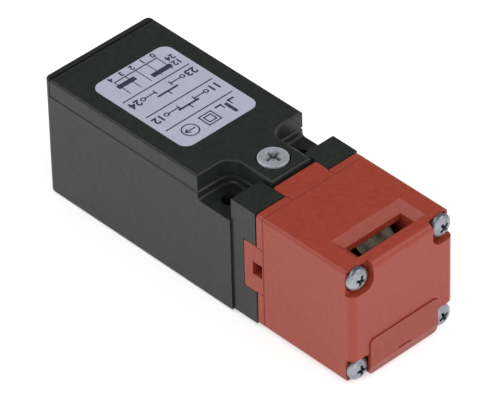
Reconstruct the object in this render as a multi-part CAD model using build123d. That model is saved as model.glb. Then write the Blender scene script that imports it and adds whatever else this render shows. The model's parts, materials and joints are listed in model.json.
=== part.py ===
from build123d import *
import math
import os

# Key-operated position switch: narrow plastic body, cover, contact block and interlock head.
# Millimetres. The origin is midway between the two fixing holes, on the back face.
# +X points to the head, +Z from the back face to the cover.

# Body
body_width = 30.0
body_height = 30.86
rear_to_holes = 51.6
holes_to_front = 4.85
cover_height = 4.41
wall = 2.2
floor_thickness = 2.2
rear_corner_radius = 1.3
bottom_edge_radius = 1.0
lip_thickness = 1.5
lip_edge_radius = 0.5
parting_groove = 0.3

# Fixing holes, in the two notches beside the cover's tongue
hole_spacing = 20.0
fixing_hole_d = 4.3
notch_depth = 6.36
notch_rear = 4.7
notch_corner_radius = 3.0
notch_floor_radius = 0.8

# Cable entry, an M20 x 1.5 female thread drawn at its core diameter
entry_d = 18.38
entry_length = 10.5
entry_height = 13.2
entry_chamfer = 0.8

# Cover, screw and gasket
tongue_width = 11.2
tongue_reach = 7.6
cover_roof = 1.8
cover_gap = 0.2
cover_edge_radius = 0.6
hook_width = 5.0
hook_spacing = 16.0
hook_reach = 0.8
hook_height = 1.4
hook_drop = 1.86
hook_gap = 0.15
label_length = 29.1
label_width = 21.3
label_from_rear = 9.8
label_thickness = 0.25
label_corner_radius = 2.4
label_gap = 0.1
gasket_width = 0.8
gasket_height = 1.0
gasket_gap = 0.2
gasket_corner_radius = 1.5
screw_from_holes = 2.2
screw_head_d = 6.7
screw_head_height = 1.7
screw_head_rise = 0.6
screw_ring_gap = 0.3
screw_core_d = 2.7
screw_thread_d = 3.6
screw_engagement = 3.0
screw_end_gap = 0.3
screw_hole_d = 4.0
retainer_d = 5.2
retainer_thickness = 0.8
retainer_gap = 0.1

# Neck and head, a square section that fits on the neck in four directions
head_step = 0.45
head_lift = 0.04
neck_length = 7.05
neck_slot_width = 12.5
neck_slot_depth = 2.6
tongue_play = 0.15
tongue_corner_radius = 0.5
head_tongue_length = 3.45
tongue_groove = 0.2
flange_thickness = 2.16
flange_edge_radius = 0.6
head_corner_radius = 0.9
head_end_radius = 1.7
seam_chamfer = 0.2
window_length = 2.8
window_height = 3.4
window_depth = 2.6
window_reach = 1.0
nose_height = 1.0
nose_root = 1.0
head_screw_edge = 2.7
screw_play = 0.2
head_screw_head_d = 5.3
head_screw_head_height = 2.0
head_screw_d = 3.0
head_screw_depth = 5.5
corner_seat_reach = 3.4
corner_seat_rounding = 2.4
corner_seat_depth = 2.06

# Cam wheel, its chamber and axle
chamber_roof = 1.7
chamber_end_wall = 1.59
chamber_gap = 0.25
cam_back_gap = 1.46
chamber_side_gap = 0.1
wheel_width = 9.4
hub_radius = 3.6
hub_gap = 0.2
axle_d = 4.0
axle_cover = 2.35
axle_end_gap = 0.1
keeper_gap = 0.2
keeper_play = 0.1
keeper_root = 0.5
running_gap = 0.05
rim_height = 2.6
cam_fall = 3.6
cam_range = 60.0
cam_gap = 0.2
rim_start = -85.0
rim_end = 88.0
key_thickness = 2.0
key_play = 0.1
key_notch_floor = 5.5

# Key slots: one in the top face, one in the end face under a plug
slot_length = 15.8
slot_width = 5.2
slot_to_edge = 6.27
funnel_depth = 1.5
funnel_rear_flare = 2.3
funnel_end_flare = 1.9
plug_width = 19.4
plug_top = 9.5
plug_seat_depth = 1.5
plug_proud = 0.3
plug_corner_radius = 1.2
plug_foot_radius = 1.0
plug_lap = 0.45
plug_gap = 0.12
plug_insert_length = 1.35
plug_bevel_height = 2.4
plug_bevel = 0.6
pry_length = 3.6
pry_width = 0.35
pry_depth = 0.4
pry_from_crease = 0.5

# Key latches, sprung noses that grip the key's edges
latch_d = 3.0
latch_nose_reach = 5.6
latch_wall = 1.35
latch_travel = 2.0
latch_gap = 0.2
latch_from_top = 6.8
latch_tip_length = 2.4
latch_spring_d = 2.0
latch_spring_wire = 0.35

# Pushrod, guide and seal
pushrod_d = 5.0
guide_d = 8.0
guide_length = 11.4
seal_d = 11.8
seal_thickness = 1.6
seal_recess_depth = 2.5
seal_lip_root = 1.6
seal_lip_tip = 1.2
seal_lip_gap = 0.2
neck_gasket_inset = 2.75
neck_gasket_width = 1.2
neck_gasket_height = 1.0
neck_gasket_corner_radius = 2.5

# Contact block
block_length = 22.5
block_front_gap = 0.1
block_side_gap = 0.8
block_end_wall = 1.5
block_corner_radius = 0.8
carriage_width = 4.6
carriage_height = 6.0
carriage_length = 12.6
carriage_edge_radius = 0.4
carriage_play = 0.2
carriage_stop_gap = 0.3
carriage_spring_gap = 2.6
stem_d = 3.4
stem_reach = 6.2
stem_play = 0.3
cap_lap = 0.6
cap_height = 2.2
cap_edge_radius = 0.5
bridge_height = 2.4
bridge_thickness = 0.6
bridge_window = 3.0
bridge_play = 0.4
window_wall = 0.6
rivet_d = 1.6
rivet_height = 0.4
contact_gap = 0.15
bridge_spring_d = 2.0
bridge_spring_wire = 0.3
strip_thickness = 0.8
strip_inset = 0.2
strip_overhang = 0.1
tab_gap = 0.8
tab_width = 1.6
tab_drop = 5.4
tab_play = 0.05
pocket_play = 0.3
terminal_edge = 2.6
terminal_gap = 0.6
terminal_pitch = 7.7
terminal_screw_d = 3.0
terminal_screw_play = 0.3
terminal_head_d = 5.6
terminal_head_height = 2.2
terminal_screw_length = 5.0
clamp_size = 6.0
clamp_thickness = 1.0
side_pocket_depth = 1.2
side_pocket_width = 5.0
side_pocket_floor = 3.0
side_pocket_roof = 6.0
return_spring_d = 3.0
return_spring_wire = 0.45
return_spring_pocket = 5.0
spring_play = 0.1

# Share of a pan head's height that is its straight rim
pan_rim_share = 0.45

# Positions that follow from the sizes above
rear_x = -rear_to_holes
front_x = holes_to_front
neck_x = front_x + neck_length
neck_slot_x = neck_x - head_tongue_length - tongue_play
seam_x = neck_x + flange_thickness
parting_z = body_height - cover_height
notch_z = body_height - notch_depth
notch_x = -notch_rear
cavity_rear_x = rear_x + entry_length
cavity_front_x = notch_x - 2 * gasket_width - gasket_gap
cavity_half = body_width / 2 - wall
cover_rear_x = rear_x + lip_thickness + cover_gap
tongue_half = tongue_width / 2

# Head, wheel and latches
head_side = body_width - 2 * head_step
head_half = head_side / 2
axis_z = body_height / 2 + head_lift
screw_pitch = head_half - head_screw_edge
chamber_radius = head_half - chamber_roof
chamber_width = slot_length + 2 * chamber_side_gap
wheel_radius = chamber_radius - chamber_gap
axle_length = 2 * (head_half - axle_cover)
cam_radius = wheel_radius - rim_height
wheel_x = seam_x + cam_back_gap + cam_radius
end_x = wheel_x + chamber_radius + chamber_end_wall
head_length = end_x - seam_x
tip_radius = pushrod_d / 2
tip_x = wheel_x - cam_radius - cam_gap
slot_offset = head_half - slot_to_edge
key_notch_offset = slot_offset - key_thickness / 2 - key_play
seat_side = corner_seat_reach + head_screw_edge + corner_seat_rounding
seat_shift = seat_side / 2 - corner_seat_reach
latch_height = head_half - latch_from_top
latch_bore_end = head_half - latch_wall
latch_outer = latch_bore_end - latch_travel - latch_gap
latch_spring_depth = latch_outer - latch_nose_reach - latch_tip_length
neck_gasket_half = head_half - neck_slot_depth - neck_gasket_inset

# Contact block, carriage and terminals
block_front_x = cavity_front_x - block_front_gap
block_rear_x = block_front_x - block_length
block_half = cavity_half - block_side_gap
channel_half = carriage_width / 2 + carriage_play
channel_low_z = axis_z - carriage_height / 2 - carriage_play
block_top_z = axis_z + carriage_height / 2 + carriage_play
carriage_rear_x = block_rear_x + block_end_wall + carriage_spring_gap
carriage_front_x = carriage_rear_x + carriage_length
stem_x = carriage_front_x + stem_reach
tab_inner = channel_half + tab_gap
tab_outer = tab_inner + tab_width
contact_y = (tab_inner + tab_outer) / 2
pocket_half = tab_outer + pocket_play
strip_edge = block_half - strip_inset
terminal_offset = strip_edge - terminal_edge
parts = {}


def side_plane(x):
    """Plane across the switch at x: local x is Y, local y is Z from the head's axis."""
    return Plane(origin=(x, 0, axis_z), x_dir=(0, 1, 0), z_dir=(1, 0, 0))


def wheel_plane(y):
    """Plane along the switch at y: local x is X, local y is Z, both from the wheel's axis."""
    return Plane(origin=(wheel_x, y, axis_z), x_dir=(1, 0, 0), z_dir=(0, -1, 0))


def block(x0, x1, y0, y1, z0, z1):
    """Box between two corners."""
    centre = Pos((x0 + x1) / 2, (y0 + y1) / 2, (z0 + z1) / 2)
    return centre * Box(x1 - x0, y1 - y0, z1 - z0)


def rod_x(radius, x0, x1, y=0.0, z=axis_z):
    """Round bar along X."""
    return Pos((x0 + x1) / 2, y, z) * Rot(0, 90, 0) * Cylinder(radius, x1 - x0)


def rod_y(radius, y0, y1, x, z):
    """Round bar along Y."""
    return Pos(x, (y0 + y1) / 2, z) * Rot(90, 0, 0) * Cylinder(radius, y1 - y0)


def rod_z(radius, x, y, z0, z1):
    """Round bar along Z."""
    return Pos(x, y, (z0 + z1) / 2) * Cylinder(radius, z1 - z0)


def flat(sketch, z0, z1):
    """Flat outline in plan, raised from z0 to z1."""
    return Pos(0, 0, z0) * extrude(sketch, z1 - z0)


def outline_rect(x0, x1, half):
    """Rectangle in plan, even about the middle of the switch."""
    return Pos((x0 + x1) / 2, 0) * Rectangle(x1 - x0, 2 * half)


def edges_at(shape, axis, value):
    """Edges of a shape that lie wholly at one coordinate."""
    return shape.edges().filter_by_position(axis, value - 0.001, value + 0.001)


def tongued_outline(x0, x1):
    """Plan of the cover: full width to the notches, then the tongue, with round inner corners."""
    plan = outline_rect(x0, notch_x, body_width / 2) + outline_rect(notch_x - 1, x1, tongue_half)
    inner = [v for v in plan.vertices() if abs(v.X - notch_x) < 0.01 and abs(v.Y) < tongue_half + 0.01]
    return fillet(inner, notch_corner_radius)


def gasket_outline(grow):
    """Ring seat round the cavity, grown outwards from the cavity's edge."""
    half = cavity_half + grow
    plan = outline_rect(cavity_rear_x - grow, cavity_front_x + grow, half)
    return fillet(plan.vertices(), gasket_corner_radius)


def neck():
    """Square neck with four slots for the head's tongues, and room for the cover's tongue on top."""
    bar = extrude(side_plane(front_x) * Rectangle(head_side, head_side), neck_length)
    slot_half = neck_slot_width / 2
    floor = head_half - neck_slot_depth
    for turn in range(4):
        slot = block(neck_slot_x, neck_x, -slot_half, slot_half, floor, head_half)
        bar -= Pos(0, 0, axis_z) * Rot(90 * turn, 0, 0) * slot
    return bar - block(front_x, neck_slot_x, -slot_half, slot_half, parting_z, body_height)


def catch_noses():
    """Small ramps on the side slots' floors, which snap into the head's windows."""
    nose_x = neck_x - window_reach + tongue_play
    floor = head_half - neck_slot_depth
    half = window_height / 2 - tongue_play
    ramp = Polyline((nose_x, floor - nose_root), (nose_x, floor + nose_height / 2),
                    (neck_x, floor + nose_height), (neck_x, floor - nose_root), close=True)
    nose = extrude(make_face(ramp), half, both=True)
    return [Pos(0, 0, axis_z) * Rot(turn, 0, 0) * nose for turn in (0, 180)]


def outer_shell():
    """Outside of the body: full plan up to the notches, tongued plan above, and the rear lip."""
    half = body_width / 2
    upper = flat(tongued_outline(rear_x, front_x), notch_z, parting_z)
    rim = [edge for edge in edges_at(upper, Axis.Z, parting_z) if rear_x < edge.center().X < front_x]
    upper = chamfer(rim, parting_groove)
    lip = flat(outline_rect(rear_x, rear_x + lip_thickness, half), parting_z - parting_groove, body_height)
    shell = flat(outline_rect(rear_x, front_x, half), 0, notch_z) + upper + lip
    shell = fillet(shell.edges().filter_by(Axis.Z).group_by(Axis.X)[0], rear_corner_radius)
    shell = fillet(shell.faces().sort_by(Axis.Z)[0].edges(), bottom_edge_radius)
    shell = fillet(edges_at(shell, Axis.Z, body_height).group_by(Axis.X)[0], lip_edge_radius)
    walls = [edge for edge in edges_at(shell, Axis.Z, notch_z)
             if notch_x - 0.01 < edge.center().X < front_x - 0.01 and abs(edge.center().Y) < half - 0.01]
    return fillet(walls, notch_floor_radius)


def housing_body():
    """Body with cavity, notches, rear lip, cable entry, pushrod tunnel and neck."""
    body = outer_shell() + neck()
    for nose in catch_noses():
        body += nose
    body -= flat(gasket_outline(0), floor_thickness, parting_z)
    body -= flat(gasket_outline(gasket_width + gasket_gap), parting_z - gasket_height, parting_z)
    for side in (-1, 1):
        body -= rod_z(fixing_hole_d / 2, 0, side * hole_spacing / 2, 0, notch_z)
        hook_y = side * hook_spacing / 2
        reach = hook_width / 2 + hook_gap
        body -= block(cover_rear_x - hook_reach - hook_gap, cover_rear_x, hook_y - reach, hook_y + reach,
                      body_height - hook_drop - hook_height - hook_gap, body_height - hook_drop + hook_gap)
    entry = rod_x(entry_d / 2, rear_x, cavity_rear_x, 0, entry_height)
    mouth = Pos(rear_x + entry_chamfer / 2, 0, entry_height) * Rot(0, 90, 0)
    entry += mouth * Cone(entry_d / 2 + entry_chamfer, entry_d / 2, entry_chamfer)
    body -= entry
    body -= rod_x(guide_d / 2, cavity_front_x, neck_x)
    body -= rod_x(seal_d / 2 + running_gap, neck_x - seal_recess_depth, neck_x)
    body -= neck_gasket(neck_gasket_height, running_gap)
    body -= rod_z(screw_thread_d / 2, screw_from_holes, 0, parting_z - screw_engagement - screw_end_gap,
                  parting_z)
    for y in (-screw_pitch, screw_pitch):
        for z in (-screw_pitch, screw_pitch):
            body -= rod_x(head_screw_d / 2 + running_gap, neck_x - head_screw_depth, neck_x, y, axis_z + z)
    return body


def neck_gasket(height, grow):
    """Square rubber ring in the neck's front face."""
    outer = neck_gasket_half + grow
    inner = neck_gasket_half - neck_gasket_width - grow
    inner_radius = neck_gasket_corner_radius - neck_gasket_width
    ring = RectangleRounded(2 * outer, 2 * outer, neck_gasket_corner_radius)
    ring -= RectangleRounded(2 * inner, 2 * inner, inner_radius)
    return extrude(side_plane(neck_x - height) * ring, height)


def cover():
    """Shell cover with tongue, rear hooks, screw seat and label recess."""
    lid = flat(tongued_outline(cover_rear_x, tongue_reach), parting_z, body_height)
    lid = fillet(lid.faces().sort_by(Axis.Z)[-1].edges(), cover_edge_radius)
    rim = [edge for edge in edges_at(lid, Axis.Z, parting_z) if edge.center().X > cover_rear_x]
    lid = chamfer(rim, parting_groove)
    inner = outline_rect(cover_rear_x + wall, cavity_front_x, cavity_half)
    lid -= flat(fillet(inner.vertices(), gasket_corner_radius), parting_z, body_height - cover_roof)
    for side in (-1, 1):
        hook_y = side * hook_spacing / 2
        half = hook_width / 2
        lid += block(cover_rear_x - hook_reach, cover_rear_x, hook_y - half, hook_y + half,
                     body_height - hook_drop - hook_height, body_height - hook_drop)
    lid -= rod_z(screw_hole_d / 2, screw_from_holes, 0, parting_z, body_height)
    seat_z = body_height + screw_head_rise - screw_head_height
    lid -= rod_z(screw_head_d / 2 + screw_ring_gap, screw_from_holes, 0, seat_z, body_height)
    lid -= rod_z(retainer_d / 2 + screw_ring_gap, screw_from_holes, 0, parting_z,
                 parting_z + retainer_thickness + 2 * retainer_gap)
    lid -= label(label_gap)
    return lid


def label(grow):
    """Thin plate in the cover's recess."""
    centre = Pos(rear_x + label_from_rear + label_length / 2, 0)
    plan = RectangleRounded(label_length + 2 * grow, label_width + 2 * grow, label_corner_radius)
    return flat(centre * plan, body_height - label_thickness, body_height)


def pan_screw(head_d, head_height, shank_d, shank_length):
    """Pan-head screw along +Z with its seat at z = 0 and its shank below."""
    radius = head_d / 2
    edge = head_height * pan_rim_share
    outline = Polyline((0, -shank_length), (shank_d / 2, -shank_length), (shank_d / 2, 0), (radius, 0),
                       (radius, edge))
    dome = TangentArc((0, head_height), (radius, edge), tangent=(1, 0))
    profile = make_face([outline, dome, Line((0, head_height), (0, -shank_length))])
    return revolve(Plane.XZ * profile, Axis.Z)


def head_base():
    """Red base plate of the head: flange, four tongues with side windows, and axle keepers."""
    flange = extrude(side_plane(neck_x) * RectangleRounded(head_side, head_side, head_corner_radius),
                     flange_thickness)
    flange = fillet(flange.faces().sort_by(Axis.X)[0].edges(), flange_edge_radius)
    flange = chamfer(flange.faces().sort_by(Axis.X)[-1].edges(), seam_chamfer)
    half = neck_slot_width / 2 - tongue_play
    floor = head_half - neck_slot_depth + tongue_play
    tongue = block(neck_x - head_tongue_length, neck_x + flange_edge_radius, -half, half, floor, head_half)
    tongue = fillet(tongue.edges().filter_by(Axis.Z).group_by(Axis.X)[0], tongue_corner_radius)
    window_x = neck_x - window_reach
    window = block(window_x, window_x + window_length, -window_height / 2, window_height / 2,
                   head_half - window_depth, head_half)
    for turn in range(4):
        around = Pos(0, 0, axis_z) * Rot(90 * turn, 0, 0)
        flange += around * tongue
        for y in (-half, half - tongue_groove):
            flange -= around * block(neck_x, seam_x, y, y + tongue_groove,
                                     head_half - tongue_groove, head_half)
    for turn in (1, 3):
        flange -= Pos(0, 0, axis_z) * Rot(90 * turn, 0, 0) * window
    flange -= rod_x(pushrod_d / 2 + screw_play, neck_x, seam_x)
    for y in (-screw_pitch, screw_pitch):
        for z in (-screw_pitch, screw_pitch):
            flange -= rod_x(head_screw_d / 2 + screw_play, neck_x, seam_x, y, axis_z + z)
    keeper_end = wheel_x - axle_d / 2 - running_gap
    keeper_half = axle_d / 2 - keeper_play
    for side in (-1, 1):
        y0, y1 = sorted((side * (chamber_width / 2 + keeper_gap), side * (axle_length / 2 - keeper_gap)))
        flange += block(seam_x - keeper_root, keeper_end, y0, y1,
                        axis_z - keeper_half, axis_z + keeper_half)
    return flange


def key_slot_cut(funnelled):
    """Slot for the key, cut down through the top face, with a funnel if it is the open one."""
    top = head_half
    x0 = slot_offset - slot_width / 2
    x1 = slot_offset + slot_width / 2
    half = slot_length / 2
    wide = half + funnel_end_flare
    through = block(x0, x1, -half, half, key_notch_floor, top)
    if not funnelled:
        return through
    low = Plane(origin=(0, 0, top - funnel_depth)) * Pos(slot_offset, 0) * Rectangle(slot_width, slot_length)
    high_length = slot_width + funnel_rear_flare
    high = Plane(origin=(0, 0, top)) * Pos(x1 - high_length / 2, 0) * Rectangle(high_length, 2 * wide)
    return through + loft([low, high])


def plug_plate(grow, x0, x1):
    """Round-cornered plate that closes the end slot, down to the bottom of the head."""
    plan = Pos(0, plug_top / 2 - head_half) * Rectangle(plug_width + 2 * grow, plug_top + 2 * grow)
    upper = plan.vertices().sort_by(Axis.Y)[-2:]
    return extrude(side_plane(x0) * fillet(upper, plug_corner_radius), x1 - x0)


def head_block():
    """Outer block of the head from the seam to the end face, with round edges."""
    plan = RectangleRounded(head_side, head_side, head_corner_radius)
    bar = extrude(side_plane(seam_x) * plan, head_length)
    bar = fillet(bar.faces().sort_by(Axis.X)[-1].edges(), head_end_radius)
    return chamfer(bar.faces().sort_by(Axis.X)[0].edges(), seam_chamfer)


def corner_seat(y, z):
    """Screw pocket at one corner of the end face, open to both sides, with a round inner corner."""
    centre = Pos(math.copysign(abs(y) + seat_shift, y), math.copysign(abs(z) + seat_shift, z))
    plan = centre * RectangleRounded(seat_side, seat_side, corner_seat_rounding)
    return extrude(side_plane(end_x - corner_seat_depth) * plan, corner_seat_depth)


def head_housing():
    """Head with wheel chamber, two key slots, axle seats, latch bores and screw corners."""
    head = head_block()
    rounded = Circle(chamber_radius)
    open_back = Pos((seam_x - wheel_x) / 2, 0) * Rectangle(wheel_x - seam_x, 2 * chamber_radius)
    head -= extrude(wheel_plane(0) * (rounded + open_back), chamber_width / 2, both=True)
    seat = Circle(axle_d / 2 + running_gap)
    seat_slot = Pos((seam_x - wheel_x) / 2, 0) * Rectangle(wheel_x - seam_x, axle_d + 2 * running_gap)
    head -= extrude(wheel_plane(0) * (seat + seat_slot), axle_length / 2 + axle_end_gap, both=True)
    at_wheel = Pos(wheel_x, 0, axis_z)
    head -= at_wheel * key_slot_cut(True)
    head -= at_wheel * Rot(0, 90, 0) * key_slot_cut(False)
    head -= plug_plate(plug_gap, end_x - plug_seat_depth, end_x)
    for y in (-screw_pitch, screw_pitch):
        for z in (-screw_pitch, screw_pitch):
            head -= corner_seat(y, z)
            head -= rod_x(head_screw_d / 2 + screw_play, seam_x, end_x, y, axis_z + z)
    for side in (-1, 1):
        y0, y1 = sorted((side * latch_nose_reach, side * latch_bore_end))
        head -= rod_y(latch_d / 2 + running_gap, y0, y1, wheel_x + slot_offset, axis_z + latch_height)
    return head


def slot_plug():
    """Plug of the unused end slot: plate that laps the lower screws, bevel, pry slot and insert."""
    seat_x = end_x - plug_seat_depth
    face_x = end_x + plug_proud
    bottom = axis_z - head_half
    plate = plug_plate(0, seat_x, face_x)
    plate = fillet(edges_at(plate, Axis.Z, bottom).filter_by(Axis.X), plug_foot_radius)
    wedge = Polyline((face_x, bottom + plug_bevel_height), (face_x, bottom), (face_x - plug_bevel, bottom),
                     close=True)
    plate -= extrude(Plane.XZ * make_face(wedge), plug_width, both=True)
    for y in (-screw_pitch, screw_pitch):
        plate -= rod_x(head_screw_head_d / 2 + screw_ring_gap, seat_x, end_x - plug_lap, y,
                       axis_z - screw_pitch)
    slot_z = axis_z - slot_offset
    half = slot_width / 2 - plug_gap
    reach = slot_length / 2 - plug_gap
    plate += block(seat_x - plug_insert_length, seat_x, -reach, reach, slot_z - half, slot_z + half)
    pry_z = bottom + plug_bevel_height + pry_from_crease
    return plate - block(face_x - pry_depth, face_x, -pry_length / 2, pry_length / 2,
                         pry_z - pry_width / 2, pry_z + pry_width / 2)


def polar(radius, angle):
    """Point at a radius and an angle in degrees, from +X towards +Z."""
    return (radius * math.cos(math.radians(angle)), radius * math.sin(math.radians(angle)))


def cam_ramp():
    """Points of the cam's ramp: the path of the pushrod's round tip, set back by its radius and gap."""
    back = tip_radius + cam_gap
    rate = cam_fall / math.radians(cam_range)
    steps = 6
    turns = [cam_range * i / steps for i in range(steps + 1)]
    spots = [(angle, cam_radius + back - cam_fall * angle / cam_range) for angle in turns]
    leans = [math.degrees(math.atan2(rate, reach)) for angle, reach in spots]
    for share in (0.5, 0.0):
        spots.append(spots[-1])
        leans.append(leans[steps] * share)
    points = []
    for (angle, reach), lean in zip(spots, leans):
        x, z = polar(reach, 180 + angle)
        back_x, back_z = polar(back, 180 + angle + lean)
        points.append((x - back_x, z - back_z))
    return points


def cam_wheel():
    """Wheel with two key notches in its rim and a cam that lets the pushrod out evenly as it turns."""
    low = cam_radius - cam_fall
    fall_end = 180 + cam_range
    far = 2 * wheel_radius
    profile = make_face([
        CenterArc((0, 0), wheel_radius, rim_start, rim_end - rim_start),
        Line(polar(wheel_radius, rim_end), polar(cam_radius, rim_end)),
        CenterArc((0, 0), cam_radius, rim_end, 360 + rim_start - rim_end),
        Line(polar(cam_radius, rim_start), polar(wheel_radius, rim_start)),
    ])
    ramp = cam_ramp()
    profile -= make_face([
        Spline(ramp),
        CenterArc((0, 0), low, fall_end, 360 + rim_start - fall_end),
        Polyline(polar(low, rim_start), polar(far, rim_start), polar(far, fall_end), polar(far, 180),
                 ramp[0]),
    ])
    span = wheel_radius
    notch = Pos(key_notch_offset + span / 2, key_notch_floor + span / 2) * Rectangle(span, span)
    profile -= notch
    profile -= Rot(0, 0, -90) * notch
    wheel = extrude(wheel_plane(0) * profile, wheel_width / 2, both=True)
    wheel += extrude(wheel_plane(0) * Circle(hub_radius), chamber_width / 2 - hub_gap, both=True)
    return wheel - rod_y(axle_d / 2 + running_gap, -head_half, head_half, wheel_x, axis_z)


def key_latch(side):
    """Round-nosed plunger with a spring hole in its outer end."""
    radius = latch_d / 2
    length = latch_outer - latch_nose_reach
    body = Polyline((0, length), (radius, length), (radius, radius))
    nose = TangentArc((0, 0), (radius, radius), tangent=(1, 0))
    pin = revolve(Plane.XZ * make_face([body, nose, Line((0, 0), (0, length))]), Axis.Z)
    pin -= rod_z(latch_spring_d / 2 + running_gap, 0, 0, length - latch_spring_depth, length)
    place = Pos(wheel_x + slot_offset, side * latch_nose_reach, axis_z + latch_height)
    return place * Rot(-90 * side, 0, 0) * pin


def latch_spring(side):
    """Outer form of the coil between a latch and the end of its bore."""
    y0 = latch_outer - latch_spring_depth
    tube = rod_z(latch_spring_d / 2, 0, 0, 0, latch_bore_end - y0)
    tube -= rod_z(latch_spring_d / 2 - latch_spring_wire, 0, 0, 0, latch_bore_end - y0)
    place = Pos(wheel_x + slot_offset, side * y0, axis_z + latch_height)
    return place * Rot(-90 * side, 0, 0) * tube


def pushrod():
    """Round rod from the contact carriage to the cam, with a round tip."""
    length = tip_x - stem_x
    shank = Polyline((0, 0), (tip_radius, 0), (tip_radius, length - tip_radius))
    tip = TangentArc((0, length), (tip_radius, length - tip_radius), tangent=(1, 0))
    rod = revolve(Plane.XZ * make_face([shank, tip, Line((0, length), (0, 0))]), Axis.Z)
    return Pos(stem_x, 0, axis_z) * Rot(0, 90, 0) * rod


def pushrod_guide():
    """Flanged bush that guides the pushrod through the neck."""
    x1 = neck_x - seal_recess_depth
    bush = rod_x(guide_d / 2 - running_gap, x1 - guide_length, x1)
    return bush - rod_x(pushrod_d / 2 + running_gap, x1 - guide_length, x1)


def pushrod_seal():
    """Lipped rubber ring in front of the guide."""
    x0 = neck_x - seal_recess_depth
    bore = pushrod_d / 2 + 2 * running_gap
    lip_end = seal_recess_depth - seal_lip_gap
    profile = Polyline((bore, 0), (seal_d / 2, 0), (seal_d / 2, seal_thickness),
                       (bore + seal_lip_root, seal_thickness), (bore + seal_lip_tip, lip_end),
                       (bore, lip_end), close=True)
    return Pos(x0, 0, axis_z) * Rot(0, 90, 0) * revolve(Plane.XZ * make_face(profile), Axis.Z)


def contact_positions():
    """X places of the two bridges and of the fixed contact faces they meet."""
    windows = carriage_front_x - window_wall
    closing_x = windows
    opening_x = windows - 2 * bridge_window - window_wall
    closing_face = closing_x + rivet_height + cam_fall + contact_gap
    opening_face = opening_x - rivet_height - contact_gap
    return closing_x, opening_x, closing_face, opening_face


def bridge_pockets():
    """Hollows in the base for the bridges' travel and the fixed tabs."""
    closing_x, opening_x, closing_face, opening_face = contact_positions()
    low = axis_z - bridge_height / 2 - bridge_play
    tab = rivet_height + strip_thickness + tab_play
    gap = bridge_thickness + bridge_play
    return [
        block(closing_x - gap, closing_face + tab, -pocket_half, pocket_half, low, block_top_z),
        block(opening_face - tab, opening_x + gap + cam_fall, -pocket_half, pocket_half, low, block_top_z),
    ]


def terminal_places():
    """Screw positions: the opening pair at the rear and the closing pair in front."""
    opening_face = contact_positions()[3]
    rear = opening_face - rivet_height - strip_thickness - terminal_head_d / 2 - terminal_gap
    return rear, rear + terminal_pitch


def contact_block_base():
    """Moulded base with the carriage channel, bridge pockets, terminal holes and wire pockets."""
    base = block(block_rear_x, block_front_x, -block_half, block_half, floor_thickness, block_top_z)
    base = fillet(base.edges().filter_by(Axis.Z), block_corner_radius)
    channel_front = carriage_front_x + cam_fall + carriage_stop_gap
    channel_rear = block_rear_x + block_end_wall
    base -= block(channel_rear, channel_front, -channel_half, channel_half, channel_low_z, block_top_z)
    base -= rod_x(stem_d / 2 + stem_play, channel_front, block_front_x)
    for pocket in bridge_pockets():
        base -= pocket
    reach = side_pocket_width / 2
    for x in terminal_places():
        for side in (-1, 1):
            base -= rod_z(terminal_screw_d / 2 + terminal_screw_play, x, side * terminal_offset,
                          block_top_z - terminal_screw_length, block_top_z)
            y0, y1 = sorted((side * (block_half - side_pocket_depth), side * block_half))
            base -= block(x - reach, x + reach, y0, y1, floor_thickness + side_pocket_floor,
                          block_top_z - side_pocket_roof)
    return base


def contact_block_cap():
    """Cap over the carriage channel."""
    half = channel_half + cap_lap
    cap = block(block_rear_x, block_front_x, -half, half, block_top_z, block_top_z + cap_height)
    return fillet(cap.faces().sort_by(Axis.Z)[-1].edges(), cap_edge_radius)


def terminal_strip(pair, side):
    """Bent strip from a terminal screw to a fixed contact tab beside the carriage."""
    rear, front = terminal_places()
    closing_face, opening_face = contact_positions()[2:]
    z0 = block_top_z
    z1 = z0 + strip_thickness
    overhang = clamp_size / 2 + strip_overhang
    if pair == "opening":
        hole_x = rear
        tab_x1 = opening_face - rivet_height
        strip = block(rear - overhang, tab_x1, tab_inner, strip_edge, z0, z1)
        strip += rod_x(rivet_d / 2, tab_x1, opening_face, contact_y)
    else:
        hole_x = front
        tab_x1 = closing_face + rivet_height + strip_thickness
        strip = block(front - overhang, tab_x1, terminal_offset - clamp_size / 2, strip_edge, z0, z1)
        strip += block(tab_x1 - strip_thickness, tab_x1, tab_inner, strip_edge, z0, z1)
        strip += rod_x(rivet_d / 2, closing_face, tab_x1 - strip_thickness, contact_y)
    strip += block(tab_x1 - strip_thickness, tab_x1, tab_inner, tab_outer, z1 - tab_drop, z1)
    strip -= rod_z(terminal_screw_d / 2 + terminal_screw_play, hole_x, terminal_offset, z0, z1)
    return strip if side > 0 else mirror(strip, Plane.XZ)


def terminal_screws():
    """Four terminal screws."""
    seat = block_top_z + strip_thickness + clamp_thickness
    length = terminal_screw_length - screw_end_gap + strip_thickness + clamp_thickness
    screw = pan_screw(terminal_head_d, terminal_head_height, terminal_screw_d, length)
    return [Pos(x, side * terminal_offset, seat) * screw for x in terminal_places() for side in (-1, 1)]


def clamp_plates():
    """Four square wire clamps under the terminal screws."""
    z0 = block_top_z + strip_thickness
    half = clamp_size / 2
    plates = []
    for x in terminal_places():
        for side in (-1, 1):
            y0, y1 = sorted((side * (terminal_offset - half), side * strip_edge))
            plate = block(x - half, x + half, y0, y1, z0, z0 + clamp_thickness)
            plates.append(plate - rod_z(terminal_screw_d / 2 + terminal_screw_play, x, side * terminal_offset,
                                        z0, z0 + clamp_thickness))
    return plates


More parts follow.
